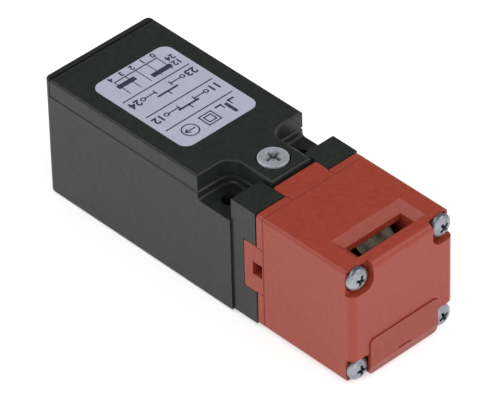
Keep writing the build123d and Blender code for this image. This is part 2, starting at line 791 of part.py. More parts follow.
def contact_carriage():
    """Sliding carriage with two bridge windows, a spring hole and a stem."""
    half = carriage_width / 2
    tall = carriage_height / 2
    slide = block(carriage_rear_x, carriage_front_x, -half, half, axis_z - tall, axis_z + tall)
    slide = fillet(slide.edges().filter_by(Axis.X), carriage_edge_radius)
    slide += rod_x(stem_d / 2, carriage_front_x, stem_x)
    slide -= rod_x(return_spring_d / 2 + spring_play, carriage_rear_x, carriage_rear_x + return_spring_pocket)
    closing_x, opening_x = contact_positions()[:2]
    window_half = bridge_height / 2 + running_gap
    for x0 in (closing_x - bridge_window, opening_x):
        slide -= block(x0, x0 + bridge_window, -half, half, axis_z - window_half, axis_z + window_half)
    return slide


def bridge(pair):
    """Moving contact bridge with a rivet at each end."""
    closing_x, opening_x = contact_positions()[:2]
    x0 = closing_x - bridge_thickness if pair == "closing" else opening_x
    x1 = x0 + bridge_thickness
    bar = block(x0, x1, -tab_outer, tab_outer, axis_z - bridge_height / 2, axis_z + bridge_height / 2)
    for side in (-1, 1):
        if pair == "closing":
            bar += rod_x(rivet_d / 2, x1, x1 + rivet_height, side * contact_y)
        else:
            bar += rod_x(rivet_d / 2, x0 - rivet_height, x0, side * contact_y)
    return bar


def spring_tube(outer_d, wire, x0, x1):
    """Outer form of a coil spring along X."""
    return rod_x(outer_d / 2, x0, x1) - rod_x(outer_d / 2 - wire, x0, x1)


def bridge_springs():
    """Contact-pressure springs behind the two bridges."""
    closing_x, opening_x = contact_positions()[:2]
    spans = [(closing_x - bridge_window, closing_x - bridge_thickness),
             (opening_x + bridge_thickness, opening_x + bridge_window)]
    return [spring_tube(bridge_spring_d, bridge_spring_wire, x0, x1) for x0, x1 in spans]


def head_screws():
    """Four screws through the head into the neck."""
    seat = end_x - corner_seat_depth
    length = seat - neck_x + head_screw_depth - screw_end_gap
    screw = pan_screw(head_screw_head_d, head_screw_head_height, head_screw_d, length)
    return [Pos(seat, y, axis_z + z) * Rot(0, 90, 0) * screw
            for y in (-screw_pitch, screw_pitch) for z in (-screw_pitch, screw_pitch)]


def cover_screw():
    """Captive cover screw, with its shank drawn at the core diameter."""
    seat = body_height + screw_head_rise - screw_head_height
    length = seat - parting_z + screw_engagement
    screw = pan_screw(screw_head_d, screw_head_height, screw_core_d, length)
    return Pos(screw_from_holes, 0, seat) * screw


def screw_retainer():
    """Washer that keeps the cover screw in the cover."""
    z0 = parting_z + retainer_gap
    ring = rod_z(retainer_d / 2, screw_from_holes, 0, z0, z0 + retainer_thickness)
    return ring - rod_z(screw_core_d / 2, screw_from_holes, 0, z0, z0 + retainer_thickness)


def cover_gasket():
    """Flat rubber ring between body and cover."""
    ring = gasket_outline(gasket_width) - gasket_outline(0)
    return flat(ring, parting_z - gasket_height, parting_z)


parts["housing_body"] = housing_body()
parts["cover"] = cover()
parts["cover_gasket"] = cover_gasket()
parts["cover_screw"] = cover_screw()
parts["screw_retainer"] = screw_retainer()
parts["label_plate"] = label(0)
parts["head_base"] = head_base()
parts["head_housing"] = head_housing()
parts["head_screws"] = head_screws()
parts["head_gasket"] = neck_gasket(neck_gasket_height, 0)
parts["slot_plug"] = slot_plug()
parts["cam_wheel"] = cam_wheel()
parts["cam_axle"] = rod_y(axle_d / 2, -axle_length / 2, axle_length / 2, wheel_x, axis_z)
for side, word in ((-1, "near"), (1, "far")):
    parts[f"key_latch_{word}"] = key_latch(side)
    parts[f"latch_spring_{word}"] = latch_spring(side)
parts["pushrod"] = pushrod()
parts["pushrod_guide"] = pushrod_guide()
parts["pushrod_seal"] = pushrod_seal()
parts["contact_block_base"] = contact_block_base()
parts["contact_block_cap"] = contact_block_cap()
for pair in ("opening", "closing"):
    for side, word in ((-1, "near"), (1, "far")):
        parts[f"{pair}_terminal_{word}"] = terminal_strip(pair, side)
    parts[f"{pair}_bridge"] = bridge(pair)
parts["terminal_screws"] = terminal_screws()
parts["clamp_plates"] = clamp_plates()
parts["contact_carriage"] = contact_carriage()
parts["bridge_springs"] = bridge_springs()
parts["return_spring"] = spring_tube(return_spring_d, return_spring_wire, block_rear_x + block_end_wall,
                                     carriage_rear_x + return_spring_pocket)

os.makedirs("parts", exist_ok=True)
for name, shape in parts.items():
    solids = shape if isinstance(shape, list) else [shape]
    solids = [solid for item in solids for solid in item.solids()]
    export_step(solids[0] if len(solids) == 1 else Compound(children=solids), f"parts/{name}.step")
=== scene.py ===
"""Key-operated position switch: finishes, fine pieces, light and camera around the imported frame."""

import json
import logging
import math
from dataclasses import dataclass, field
from enum import Enum

import bmesh
import bpy
from bmesh.types import BMesh, BMVert
from bpy.types import ID, Material, Mesh, Node, NodeSocket as Socket, NodeTree, Object
from mathutils import Matrix, Vector


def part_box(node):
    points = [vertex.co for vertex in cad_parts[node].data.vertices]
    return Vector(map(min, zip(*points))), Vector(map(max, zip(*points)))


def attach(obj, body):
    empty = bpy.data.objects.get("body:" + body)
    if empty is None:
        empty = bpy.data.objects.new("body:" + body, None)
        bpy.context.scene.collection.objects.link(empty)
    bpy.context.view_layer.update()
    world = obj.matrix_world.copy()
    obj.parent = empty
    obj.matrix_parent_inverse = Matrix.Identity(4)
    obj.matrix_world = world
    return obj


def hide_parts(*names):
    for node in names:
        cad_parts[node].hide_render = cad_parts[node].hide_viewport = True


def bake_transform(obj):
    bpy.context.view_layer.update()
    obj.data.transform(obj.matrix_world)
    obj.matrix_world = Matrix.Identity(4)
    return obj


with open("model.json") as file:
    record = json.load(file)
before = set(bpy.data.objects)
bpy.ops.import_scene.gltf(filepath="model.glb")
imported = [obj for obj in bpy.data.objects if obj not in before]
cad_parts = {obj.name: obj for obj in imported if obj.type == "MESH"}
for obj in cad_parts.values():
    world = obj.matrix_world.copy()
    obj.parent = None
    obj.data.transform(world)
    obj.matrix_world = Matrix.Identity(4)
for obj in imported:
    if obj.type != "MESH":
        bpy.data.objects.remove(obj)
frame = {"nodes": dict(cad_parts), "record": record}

LOG = logging.getLogger("switch")
MM = 0.001
# Point attribute holding the painted shade of a screw's recess.
RECESS_SHADE = "painted_recess_shade"
NOISE_RANGE = (0.3, 0.7)
WHITE = (1.0, 1.0, 1.0, 1.0)
# Sockets taken by number, because several in one node have the same name.
MIX_FACTOR, MIX_FIRST, MIX_SECOND, MIX_RESULT = 0, 6, 7, 2
RANDOM_MOST, RANDOM_RESULT = 3, 1

Inputs = dict[str | int, object]
Shade = tuple[int, int, int]
Colour = tuple[float, float, float, float]
Point = tuple[float, float, float]
Pair = tuple[float, float]


class SurfaceAxis(Enum):
    """Direction in which a row of screws points."""

    FRONT = (1.0, 0.0, 0.0)
    TOP = (0.0, 0.0, 1.0)


class DriveKind(Enum):
    """Recess of a screw head, with the angles of the shallow ticks between its wings."""

    CROSS = ()
    CROSS_WITH_TICKS = (45.0, 135.0)


class ContactKind(Enum):
    """Contact symbol on the plate, with its bridge's height over the line in millimetres."""

    OPENING = 0.75
    CLOSING = 1.55


def linear(shade: Shade) -> Colour:
    """Turn an 8-bit display colour into the linear colour that a shader takes.

    Args:
        shade: Red, green and blue from 0 to 255.

    Returns:
        Linear red, green, blue and an alpha of 1.
    """
    parts = [value / 255 for value in shade]
    return (*(p / 12.92 if p <= 0.04045 else ((p + 0.055) / 1.055) ** 2.4 for p in parts), 1.0)


class NodeBuilder:
    """Adds nodes to a tree and feeds them."""

    def __init__(self, tree: NodeTree) -> None:
        """Keep the tree that is built."""
        self.tree = tree

    def feed(self, node: Node, inputs: Inputs) -> None:
        """Link sockets to a node's inputs and set plain values at them.

        Args:
            node: Node to feed.
            inputs: Socket or plain value for each input, by name or number.
        """
        for key, value in inputs.items():
            if isinstance(value, Socket):
                self.tree.links.new(value, node.inputs[key])
            else:
                node.inputs[key].default_value = value

    def node(self, kind: str, inputs: Inputs | None = None, **settings: object) -> Node:
        """Add a node, set its properties and feed it.

        Args:
            kind: Blender's name for the node type.
            inputs: What it is fed, as in feed.
            settings: Properties of the node.

        Returns:
            The new node.
        """
        made = self.tree.nodes.new(kind)
        for key, value in settings.items():
            setattr(made, key, value)
        self.feed(made, inputs or {})
        return made

    def step(self, kind: str, first: Socket | float, second: Socket | float) -> Socket:
        """Join two values by one step of arithmetic.

        Args:
            kind: Blender's name for the operation.
            first: First socket or number.
            second: Second socket or number.

        Returns:
            The result's socket.
        """
        return self.node("ShaderNodeMath", {0: first, 1: second}, operation=kind).outputs[0]

    def ramp(self, value: Socket, target: Pair = (0.0, 1.0), source: Pair = NOISE_RANGE
             ) -> Socket:
        """Map a value's range to another range, clamped.

        Args:
            value: Socket to map.
            target: Values out at the two ends of the range.
            source: The two ends of the range.

        Returns:
            The mapped value's socket.
        """
        inputs = {"Value": value, "From Min": source[0], "From Max": source[1],
                  "To Min": target[0], "To Max": target[1]}
        return self.node("ShaderNodeMapRange", inputs).outputs["Result"]


class ShaderGraph(NodeBuilder):
    """Builder of a material's node tree."""

    def __init__(self, name: str) -> None:
        """Start a material with an empty Principled surface.

        Args:
            name: Name of the new material.
        """
        self.material = bpy.data.materials.new(name)
        self.material.use_nodes = True
        super().__init__(self.material.node_tree)
        self.surface = self.tree.nodes["Principled BSDF"]
        self.coordinates = self.node("ShaderNodeTexCoord").outputs["Object"]

    def noise(self, size_mm: float, detail: float, rough: float) -> Socket:
        """Noise whose blotches have about the given size, in the piece's own coordinates.

        Args:
            size_mm: Size of one blotch in millimetres.
            detail: Octaves of the noise.
            rough: Weight of the finer octaves.

        Returns:
            The noise value's socket.
        """
        inputs = {"Vector": self.coordinates, "Scale": 1 / (size_mm * MM), "Detail": detail,
                  "Roughness": rough}
        return self.node("ShaderNodeTexNoise", inputs).outputs["Fac"]

    def blend(self, factor: Socket, first: Socket | Colour, second: Colour) -> Socket:
        """Mix two colours.

        Args:
            factor: Share of the second colour.
            first: Colour at 0.
            second: Colour at 1.

        Returns:
            The mixed colour's socket.
        """
        colours = {MIX_FACTOR: factor, MIX_FIRST: first, MIX_SECOND: second}
        return self.node("ShaderNodeMix", colours, data_type="RGBA").outputs[MIX_RESULT]

    def bump(self, height: Socket, depth_mm: float, strength: float = 1.0,
             after: Socket | None = None) -> Socket:
        """Bump from a height.

        Args:
            height: Height socket, 0 to 1.
            depth_mm: Depth of the relief in millimetres.
            strength: Strength of the effect.
            after: Normal to build on.

        Returns:
            The normal's socket.
        """
        inputs = {"Height": height, "Distance": depth_mm * MM, "Strength": strength}
        if after is not None:
            inputs["Normal"] = after
        return self.node("ShaderNodeBump", inputs).outputs["Normal"]

    def finished(self, inputs: Inputs) -> Material:
        """Feed the surface and give the material."""
        self.feed(self.surface, inputs)
        return self.material


@dataclass(frozen=True)
class MouldedPlastic:
    """Plastic with the fine grain of a spark-eroded mould."""

    name: str
    colour: Shade
    lighter: Shade
    roughness: Pair = (0.3, 0.42)
    grain_mm: float = 0.3
    grain_depth_mm: float = 0.026
    wave_mm: float = 9.0
    wave_depth_mm: float = 0.02
    wear_mm: float = 1.8
    speckle_mm: float = 0.8
    specular: float = 0.45

    def build(self) -> Material:
        """Make the material.

        Returns:
            The node material.
        """
        graph = ShaderGraph(self.name)
        speckle = graph.ramp(graph.noise(self.speckle_mm, detail=3.0, rough=0.6))
        wear = graph.noise(self.wear_mm, detail=5.0, rough=0.65)
        wave = graph.noise(self.wave_mm, detail=4.0, rough=0.6)
        grain = graph.noise(self.grain_mm, detail=2.0, rough=0.6)
        waved = graph.bump(wave, self.wave_depth_mm, strength=0.4)
        return graph.finished({
            "Base Color": graph.blend(speckle, linear(self.colour), linear(self.lighter)),
            "Roughness": graph.ramp(wear, self.roughness),
            "Normal": graph.bump(grain, self.grain_depth_mm, strength=0.8, after=waved),
            "Specular IOR Level": self.specular,
        })


@dataclass(frozen=True)
class WorkedMetal:
    """Metal with fine marks left by its making, and painted shade where a recess is deep."""

    name: str
    colour: Shade
    darker: Shade
    roughness: Pair = (0.24, 0.38)
    mark_mm: float = 0.35
    mark_depth_mm: float = 0.006
    marks_per_cloud: float = 6.0
    cloud_range: Pair = (0.35, 0.7)
    # Colour of the painted shade at the bottom of a recess.
    grime: Colour = (0.02, 0.018, 0.014, 1.0)
    metallic: float = 1.0

    def build(self) -> Material:
        """Make the material.

        Returns:
            The node material.
        """
        graph = ShaderGraph(self.name)
        marks = graph.noise(self.mark_mm, detail=4.0, rough=0.6)
        cloud = graph.noise(self.mark_mm * self.marks_per_cloud, detail=3.0, rough=0.5)
        clouded = graph.ramp(cloud, source=self.cloud_range)
        tint = graph.blend(clouded, linear(self.colour), linear(self.darker))
        # Painted shade: the base colour darkens towards the recess shade colour as the stored recess
        # shade rises.
        depth = graph.node("ShaderNodeAttribute", attribute_name=RECESS_SHADE).outputs["Fac"]
        return graph.finished({
            "Base Color": graph.blend(depth, tint, self.grime),
            "Roughness": graph.ramp(marks, self.roughness),
            "Normal": graph.bump(marks, self.mark_depth_mm),
            "Metallic": self.metallic,
        })


@dataclass(frozen=True)
class PrintedFilm:
    """Satin film with a faint paper tooth."""

    name: str
    colour: Shade
    lighter: Shade
    roughness: Pair = (0.34, 0.46)
    cloud_mm: float = 4.0
    tooth_mm: float = 0.3
    tooth_depth_mm: float = 0.004

    def build(self) -> Material:
        """Make the material.

        Returns:
            The node material.
        """
        graph = ShaderGraph(self.name)
        cloud = graph.ramp(graph.noise(self.cloud_mm, detail=3.0, rough=0.5))
        tooth = graph.noise(self.tooth_mm, detail=2.0, rough=0.5)
        return graph.finished({
            "Base Color": graph.blend(cloud, linear(self.colour), linear(self.lighter)),
            "Roughness": graph.ramp(tooth, self.roughness),
            "Normal": graph.bump(tooth, self.tooth_depth_mm, strength=0.6),
        })


class Finishes:
    """Every finish of the switch, made once: those of the record's slots, then the others."""

    def __init__(self) -> None:
        """Build the materials."""
        wanted = {
            "black_plastic": MouldedPlastic("black_moulding", (34, 37, 35), (45, 48, 45),
                                            specular=0.3),
            "red_plastic": MouldedPlastic("red_moulding", (157, 59, 42), (168, 69, 51),
                                          specular=0.4),
            "zinc_steel": WorkedMetal("zinc_plating", (212, 216, 224), (196, 200, 210),
                                      (0.42, 0.54), metallic=0.65),
            "label_film": PrintedFilm("plate_film", (184, 186, 206), (190, 192, 211)),
            "seal_rubber": MouldedPlastic("seal_rubber", (28, 28, 28), (34, 34, 34), (0.7, 0.85)),
            "cam_metal": WorkedMetal("cam_casting", (116, 110, 98), (68, 64, 56), (0.42, 0.62),
                                     mark_mm=0.4, mark_depth_mm=0.03),
            "axle_steel": WorkedMetal("ground_steel", (200, 200, 202), (180, 180, 184)),
            "block_plastic": MouldedPlastic("block_moulding", (60, 61, 64), (68, 69, 72)),
            "carriage_plastic": MouldedPlastic("acetal", (222, 216, 200), (229, 224, 210)),
            "brass": WorkedMetal("stamped_brass", (212, 178, 108), (190, 154, 88), (0.25, 0.4)),
            "contact_silver": WorkedMetal("silver_plating", (222, 222, 220), (200, 200, 198)),
            "spring_steel": WorkedMetal("spring_wire", (176, 178, 182), (150, 152, 158)),
            "plug": MouldedPlastic("plug_moulding", (151, 56, 40), (161, 65, 48), specular=0.4),
            "ink": MouldedPlastic("plate_ink", (50, 52, 66), (58, 60, 76), (0.4, 0.5)),
            # Painted shade: the dark strip in the seam between the flange and the head.
            "seam": MouldedPlastic("seam_bead", (138, 51, 37), (144, 55, 41), (0.6, 0.7),
                                   specular=0.3),
            # Painted shade for the dark rings round the head screws.
            "pocket_dirt": MouldedPlastic("pocket_dirt", (62, 26, 20), (74, 32, 25),
                                          (0.75, 0.85), specular=0.15),
            "dull_zinc": WorkedMetal("dulled_zinc", (164, 168, 176), (132, 135, 142),
                                     (0.36, 0.5), metallic=0.9),
        }
        self.materials = {name: finish.build() for name, finish in wanted.items()}
        self.own = {"slot_plug": "plug"}

    def of(self, name: str) -> Material:
        """Give the material of a slot or another use."""
        return self.materials[name]

    def dress_frame(self) -> None:
        """Give every CAD node its own finish, or else that of its slot."""
        for part in frame["record"]["subparts"]:
            materials = frame["nodes"][part["node"]].data.materials
            materials.clear()
            materials.append(self.of(self.own.get(part["node"], part["material_slot"])))
            LOG.info("dressed %s as %s", part["node"], part["material_slot"])


def linked(name: str, data: ID) -> Object:
    """Put a new object with the given data into the scene, at the origin."""
    item = bpy.data.objects.new(name, data)
    bpy.context.scene.collection.objects.link(item)
    return item


def mesh_object(name: str, mesh: Mesh, material: Material) -> Object:
    """Put a mesh into the scene with its finish.

    Args:
        name: Name of the new piece.
        mesh: Its mesh, in the frame's metres.
        material: Its finish.

    Returns:
        The new object.
    """
    mesh.materials.clear()
    mesh.materials.append(material)
    return linked(name, mesh)


def discard(*pieces: Object) -> None:
    """Remove helper objects from the scene."""
    for piece in pieces:
        bpy.data.objects.remove(piece, do_unlink=True)


def frozen(piece: Object) -> Mesh:
    """Evaluate a piece's modifiers into a plain mesh.

    Args:
        piece: The object to evaluate.

    Returns:
        A new mesh.
    """
    bpy.context.view_layer.update()
    depsgraph = bpy.context.evaluated_depsgraph_get()
    return bpy.data.meshes.new_from_object(piece.evaluated_get(depsgraph), depsgraph=depsgraph)


def settled(name: str, form: BMesh, outward: bool = False) -> Mesh:
    """Turn a working form into a mesh and free it.

    Args:
        name: Name of the mesh.
        form: The working form.
        outward: Whether its faces are turned outward first.

    Returns:
        The mesh.
    """
    if outward:
        bmesh.ops.recalc_face_normals(form, faces=form.faces)
    mesh = bpy.data.meshes.new(name)
    form.to_mesh(mesh)
    form.free()
    return mesh


def round_ring(radius: float, height: float, steps: int, middle: Pair = (0.0, 0.0)) -> list[Point]:
    """Give the points of a level circle.

    Args:
        radius: Its radius.
        height: Its height.
        steps: Points round it.
        middle: Its middle.

    Returns:
        The points, once round.
    """
    angles = [math.tau * i / steps for i in range(steps)]
    return [(middle[0] + radius * math.cos(a), middle[1] + radius * math.sin(a), height)
            for a in angles]


def skin(form: BMesh, rings: list[list[Point]], closed: bool = True) -> list[list[BMVert]]:
    """Stretch faces from each ring of points to the next.

    Args:
        form: Working form that takes them.
        rings: Points of each ring, where a ring of one point is a tip.
        closed: Whether the last ring is joined to the first.

    Returns:
        The new vertices of each ring.
    """
    loops = [[form.verts.new(point) for point in ring] for ring in rings]
    steps = max(len(loop) for loop in loops)
    for low, high in zip(loops, loops[1:] + (loops[:1] if closed else [])):
        for i in range(steps):
            j = i + 1
            corners = (low[i % len(low)], low[j % len(low)],
                       high[j % len(high)], high[i % len(high)])
            form.faces.new(list(dict.fromkeys(corners)))
    return loops


class GeometryTree(NodeBuilder):
    """Builder of a Geometry Nodes tree with named inputs."""

    def __init__(self, name: str, **wanted: str) -> None:
        """Start a tree with geometry in and out, and the named inputs.

        Args:
            name: Name of the tree.
            wanted: Kind of socket of each named input.
        """
        super().__init__(bpy.data.node_groups.new(name, "GeometryNodeTree"))
        outside = self.tree.interface
        for way in ("INPUT", "OUTPUT"):
            outside.new_socket("Geometry", in_out=way, socket_type="NodeSocketGeometry")
        for key, kind in wanted.items():
            outside.new_socket(key, in_out="INPUT", socket_type="NodeSocket" + kind)
        self.given = self.node("NodeGroupInput").outputs

    def close(self, geometry: Socket) -> None:
        """End the tree in Realize Instances and Set Material.

        Args:
            geometry: Geometry to finish.
        """
        real = self.node("GeometryNodeRealizeInstances", {"Geometry": geometry})
        paint = self.node("GeometryNodeSetMaterial", {
            "Geometry": real.outputs["Geometry"], "Material": self.given["Finish"]})
        self.node("NodeGroupOutput", {"Geometry": paint.outputs["Geometry"]})

    def run(self, name: str, values: dict[str, object], material: Material,
            places: list[Vector] | None = None) -> Object:
        """Run the tree once and keep its result as a plain mesh.

        Args:
            name: Name of the new piece.
            values: Input values by name.
            material: The finish of the piece.
            places: Points that the tree starts from.

        Returns:
            The finished object, without modifiers.
        """
        base = bpy.data.meshes.new(name + "_base")
        base.from_pydata([tuple(place) for place in places or []], [], [])
        carrier = mesh_object(name + "_carrier", base, material)
        modifier = carrier.modifiers.new("nodes", "NODES")
        modifier.node_group = self.tree
        sockets = {item.name: item.identifier for item in self.tree.interface.items_tree
                   if item.in_out == "INPUT"}
        for key, value in {**values, "Finish": material}.items():
            modifier[sockets[key]] = value
        result = frozen(carrier)
        discard(carrier)
        return mesh_object(name, result, material)


def coil_tree() -> GeometryTree:
    """Build the tree that winds a round wire into a coil and sets it in its place.

    Returns:
        The tree, with inputs Turns, Radius, Length, Wire, Steps, Sides, Start, Turn and Finish.
    """
    tree = GeometryTree("coil", Turns="Float", Radius="Float", Length="Float", Wire="Float",
                        Steps="Int", Sides="Int", Start="Vector", Turn="Vector", Finish="Material")
    given = tree.given
    spiral = tree.node("GeometryNodeCurveSpiral", {
        "Resolution": given["Steps"], "Rotations": given["Turns"], "Height": given["Length"],
        "Start Radius": given["Radius"], "End Radius": given["Radius"]})
    ring = tree.node("GeometryNodeCurvePrimitiveCircle", {
        "Resolution": given["Sides"], "Radius": given["Wire"]})
    tube = tree.node("GeometryNodeCurveToMesh", {
        "Curve": spiral.outputs["Curve"], "Profile Curve": ring.outputs["Curve"],
        "Fill Caps": True})
    shaded = tree.node("GeometryNodeSetShadeSmooth", {"Geometry": tube.outputs["Mesh"]})
    placed = tree.node("GeometryNodeTransform", {
        "Geometry": shaded.outputs["Geometry"], "Translation": given["Start"],
        "Rotation": given["Turn"]})
    tree.close(placed.outputs["Geometry"])
    return tree


def screw_tree() -> GeometryTree:
    """Build the tree that sets one screw at every point, each turned by its own amount.

    Returns:
        The tree, with inputs Screw, Axis, Turn, Spread, Seed and Finish.
    """
    tree = GeometryTree("screw_set", Screw="Object", Axis="Vector", Turn="Float", Spread="Float",
                        Seed="Int", Finish="Material")
    given = tree.given
    info = tree.node("GeometryNodeObjectInfo", {"Object": given["Screw"]})
    aim = tree.node("FunctionNodeAlignRotationToVector", {"Vector": given["Axis"]}, axis="Z")
    spin = tree.node("FunctionNodeRandomValue", {
        RANDOM_MOST: given["Spread"], "Seed": given["Seed"]}, data_type="FLOAT")
    total = tree.step("ADD", given["Turn"], spin.outputs[RANDOM_RESULT])
    about = tree.node("ShaderNodeCombineXYZ", {"Z": total})
    local = tree.node("FunctionNodeEulerToRotation", {"Euler": about.outputs["Vector"]})
    turned = tree.node("FunctionNodeRotateRotation", {
        "Rotation": aim.outputs["Rotation"], "Rotate By": local.outputs["Rotation"]},
        rotation_space="LOCAL")
    setter = tree.node("GeometryNodeInstanceOnPoints", {
        "Points": given["Geometry"], "Instance": info.outputs["Geometry"],
        "Rotation": turned.outputs["Rotation"]})
    tree.close(setter.outputs["Instances"])
    return tree


@dataclass
class ScrewHead:
    """One pan-head screw along +Z, seat at z = 0, made as a turned form with a cut recess."""

    radius: float
    height: float
    shank_radius: float
    shank_length: float
    drive: DriveKind
    rim_share: float
    # Strength of the painted shade in the recess.
    soil: float
    reach_share: float
    lip_share: float = 0.1
    chamfer_share: float = 0.3
    tip_share: float = 0.2
    wing_share: float = 0.14
    depth_share: float = 0.72
    edge_share: float = 0.9
    steps: int = 48
    arc_steps: int = 10
    core_steps: int = 16
    sharp_angle: float = 30.0

    def crown(self, radius: float) -> float:
        """Give the height of the uncut crown at a distance from the middle."""
        rim = self.height * self.rim_share
        return rim + (self.height - rim) * math.sqrt(max(0.0, 1 - (radius / self.radius) ** 2))

    def outline(self) -> list[Pair]:
        """Give the half section, from the shank's tip up to the crown.

        Returns:
            Radius and height of each point.
        """
        rim, lip = self.height * self.rim_share, self.height * self.lip_share
        chamfer, shank, end = lip * self.chamfer_share, self.shank_radius, -self.shank_length
        points = [(0.0, end), (shank * (1 - self.tip_share), end),
                  (shank, end + shank * self.tip_share), (shank, 0.0), (self.radius - lip, 0.0),
                  (self.radius - chamfer, chamfer), (self.radius, lip), (self.radius, rim)]
        for i in range(1, self.arc_steps):
            angle = math.pi / 2 * i / self.arc_steps
            points.append((self.radius * math.cos(angle),
                           rim + (self.height - rim) * math.sin(angle)))
        return [*points, (0.0, self.height)]

    def turned(self) -> Mesh:
        """Turn the half section round Z.

        Returns:
            A closed mesh.
        """
        form = bmesh.new()
        rings = [round_ring(radius, height, self.steps if radius > 0 else 1)
                 for radius, height in self.outline()]
        skin(form, rings, closed=False)
        return settled("screw", form, outward=True)

    def wing(self, turn: float, half: float, reach: float, depth: float) -> BMesh:
        """Make one tapered cutter across the head.

        Args:
            turn: Angle about Z in degrees.
            half: Half of its width at the top.
            reach: Half of its length at the crown.
            depth: How deep it goes.

        Returns:
            The cutter as a working form.
        """
        top = (self.height + depth * 0.2, half, reach * 1.04)
        bottom = (self.height - depth, half * 0.8, reach * 0.66)
        form = bmesh.new()
        bmesh.ops.create_cube(form, size=2.0)
        for vert in form.verts:
            level, across, along = top if vert.co.z > 0 else bottom
            vert.co = Vector((vert.co.x * along, vert.co.y * across, level))
        bmesh.ops.rotate(form, verts=form.verts, matrix=Matrix.Rotation(math.radians(turn), 3, "Z"))
        return form

    def cutters(self) -> list[Object]:
        """Make the objects whose form is cut from the head: wings, ticks and a tapered core.

        Returns:
            One object for each cut.
        """
        half, reach = self.radius * self.wing_share, self.radius * self.reach_share
        depth = self.height * self.depth_share
        forms = [self.wing(turn, half, reach, depth) for turn in (0.0, 90.0)]
        forms += [self.wing(turn, half * 0.34, reach * 0.8, depth * 0.3)
                  for turn in self.drive.value]
        core = bmesh.new()
        bmesh.ops.create_cone(core, cap_ends=True, segments=self.core_steps, radius1=half * 0.6,
                              radius2=half * 2.1, depth=depth * 1.25)
        bmesh.ops.translate(core, verts=core.verts, vec=(0, 0, self.height - depth * 0.4))
        return [linked("cutter", settled("cutter", form)) for form in [*forms, core]]

    def build(self, name: str, material: Material) -> Object:
        """Make the finished screw.

        Args:
            name: Name of the object.
            material: Its finish.

        Returns:
            A master that the screw set copies.
        """
        blank = mesh_object(name + "_blank", self.turned(), material)
        cutters = self.cutters()
        for cutter in cutters:
            cut = blank.modifiers.new("recess", "BOOLEAN")
            cut.operation = "DIFFERENCE"
            cut.solver = "EXACT"
            cut.object = cutter
        mesh = frozen(blank)
        discard(blank, *cutters)
        mesh.polygons.foreach_set("use_smooth", [True] * len(mesh.polygons))
        mesh.set_sharp_from_angle(angle=math.radians(self.sharp_angle))
        self.mark_recess(mesh)
        return mesh_object(name, mesh, material)

    def mark_recess(self, mesh: Mesh) -> None:
        """Store the painted shade of the recess: how deep each point lies in it, as a share of its
        depth, times the shade strength.

        Args:
            mesh: Mesh of the cut screw.
        """
        deep = mesh.attributes.new(RECESS_SHADE, "FLOAT", "POINT")
        for vertex, value in zip(mesh.vertices, deep.data):
            radius = math.hypot(vertex.co.x, vertex.co.y)
            inside = vertex.co.z > 0 and radius < self.radius * self.edge_share
            below = (self.crown(radius) - vertex.co.z) / (self.height * self.depth_share)
            # Painted shade: deeper points inside the recess get a darker colour.
            value.value = min(1.0, max(0.0, below)) * self.soil if inside else 0.0


@dataclass
class ScrewSet:
    """Screws of one kind on one body, which stand for one CAD node."""

    node: str
    body: str
    slot: str
    head_radius: float
    head_height: float
    shank_radius: float
    axis: SurfaceAxis
    drive: DriveKind
    seed: int
    turn: float = 0.0
    spread: float = math.tau
    rim_share: float = 0.34
    # Strength of the painted shade in the screws' recesses.
    soil: float = 1.0
    reach: float = 0.56
    dull: bool = False
    # Width of the dark ring of painted shade round each head; 0 sets none.
    collar: float = 0.0
    collar_margin: float = 0.5 * MM
    collar_thickness: float = 0.08 * MM
    collar_start: float = 0.97
    collar_steps: int = 40
    same_seat: float = 0.1

    def collars(self, tree: GeometryTree, places: list[Vector], finishes: Finishes) -> None:
        """Lay a dark ring of painted shade round each head, on the pocket's floor.

        Args:
            tree: The screw-setting tree.
            places: The seats' centres.
            finishes: The switch's finishes.
        """
        width, thickness = self.collar, self.collar_thickness
        section = ((0.0, 0.0), (width, 0.0), (width * 0.7, thickness), (0.0, thickness * 1.5))
        inner = self.head_radius * self.collar_start
        form = bmesh.new()
        skin(form, [round_ring(inner + out, up, self.collar_steps) for out, up in section])
        # The ring's dark red-brown is painted shade, standing in for the pocket's shadow round the
        # head.
        pocket_shade = finishes.of("pocket_dirt")
        master = mesh_object("collar_master", settled("collar", form, outward=True), pocket_shade)
        values = {"Screw": master, "Axis": self.axis.value, "Turn": 0.0, "Spread": 0.0, "Seed": 0}
        piece = tree.run(self.node + "_collars", values, pocket_shade, places)
        discard(master)
        low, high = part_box("head_housing")
        for vertex in piece.data.vertices:
            for i in (1, 2):
                vertex.co[i] = min(high[i] - self.collar_margin,
                                   max(low[i] + self.collar_margin, vertex.co[i]))
        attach(piece, self.body)

    def seats(self) -> tuple[list[Vector], float]:
        """Find the seats from the CAD node's box.

        Returns:
            The seats' centres and the shank's length.
        """
        low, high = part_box(self.node)
        main = max(range(3), key=lambda i: self.axis.value[i])
        spread = []
        for i in range(3):
            first, last = low[i] + self.head_radius, high[i] - self.head_radius
            if i == main:
                spread.append([high[i] - self.head_height])
            elif abs(last - first) < self.head_radius * self.same_seat:
                spread.append([(first + last) / 2])
            else:
                spread.append([first, last])
        places = [Vector((x, y, z)) for x in spread[0] for y in spread[1] for z in spread[2]]
        return places, high[main] - low[main] - self.head_height

    def build(self, tree: GeometryTree, finishes: Finishes) -> None:
        """Set the screws and let them stand for the CAD node.

        Args:
            tree: The screw-setting tree.
            finishes: The switch's finishes.
        """
        places, shank = self.seats()
        material = finishes.of("dull_zinc" if self.dull else self.slot)
        form = ScrewHead(self.head_radius, self.head_height, self.shank_radius, shank, self.drive,
                         self.rim_share, self.soil, self.reach)
        master = form.build(self.node + "_master", material)
        values = {"Screw": master, "Axis": self.axis.value, "Turn": self.turn,
                  "Spread": self.spread, "Seed": self.seed}
        piece = tree.run(self.node + "_turned", values, material, places)
        discard(master)
        if self.collar > 0.0:
            self.collars(tree, places, finishes)
        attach(piece, self.body)
        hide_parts(self.node)
        LOG.info("set %d screws for %s", len(places), self.node)


